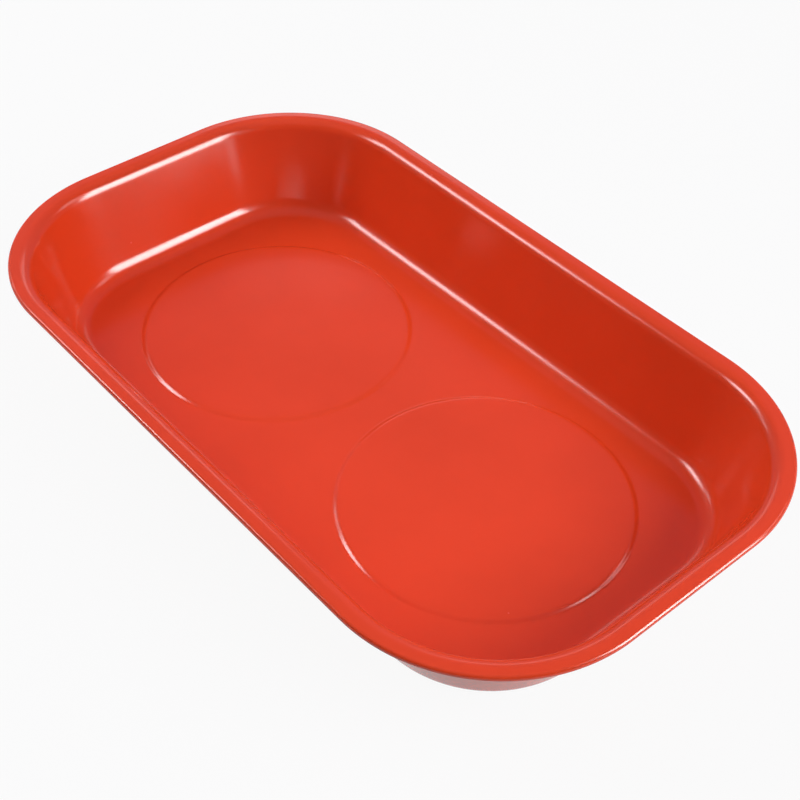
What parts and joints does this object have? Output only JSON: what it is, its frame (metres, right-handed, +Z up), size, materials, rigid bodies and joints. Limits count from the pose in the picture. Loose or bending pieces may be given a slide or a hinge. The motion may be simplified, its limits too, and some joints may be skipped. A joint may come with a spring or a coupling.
{
  "type": "magnetic parts tray",
  "caption": "Oblong pressed steel tray with rounded corners, a curled rim and raised pads over rubber-covered magnet bases, for holding small steel parts at the bench.",
  "frame": {"origin": "on the bench, under the middle of the tray: the bottom centre of the whole object", "axes": "+X along the tray's length, +Y across it, +Z up out of the tray's mouth"},
  "size_m": [0.24, 0.1414, 0.04],
  "materials": {
    "red_enamel": "gloss",
    "zinc_steel": "satin",
    "plate_steel": "satin",
    "spring_steel": "satin",
    "ferrite": "matte",
    "nylon": "satin",
    "foam": "matte",
    "black_rubber": "matte"
  },
  "bodies": {
    "root": {"tray": "red_enamel", "left_weld_stud": "zinc_steel", "left_gasket": "foam", "left_magnet": "ferrite", "left_bush": "nylon", "left_pole_plate": "plate_steel", "left_flat_washer": "zinc_steel", "left_lock_washer": "spring_steel", "left_nut": "zinc_steel", "left_cover": "black_rubber", "right_weld_stud": "zinc_steel", "right_gasket": "foam", "right_magnet": "ferrite", "right_bush": "nylon", "right_pole_plate": "plate_steel", "right_flat_washer": "zinc_steel", "right_lock_washer": "spring_steel", "right_nut": "zinc_steel", "right_cover": "black_rubber"}
  },
  "joints": []
}
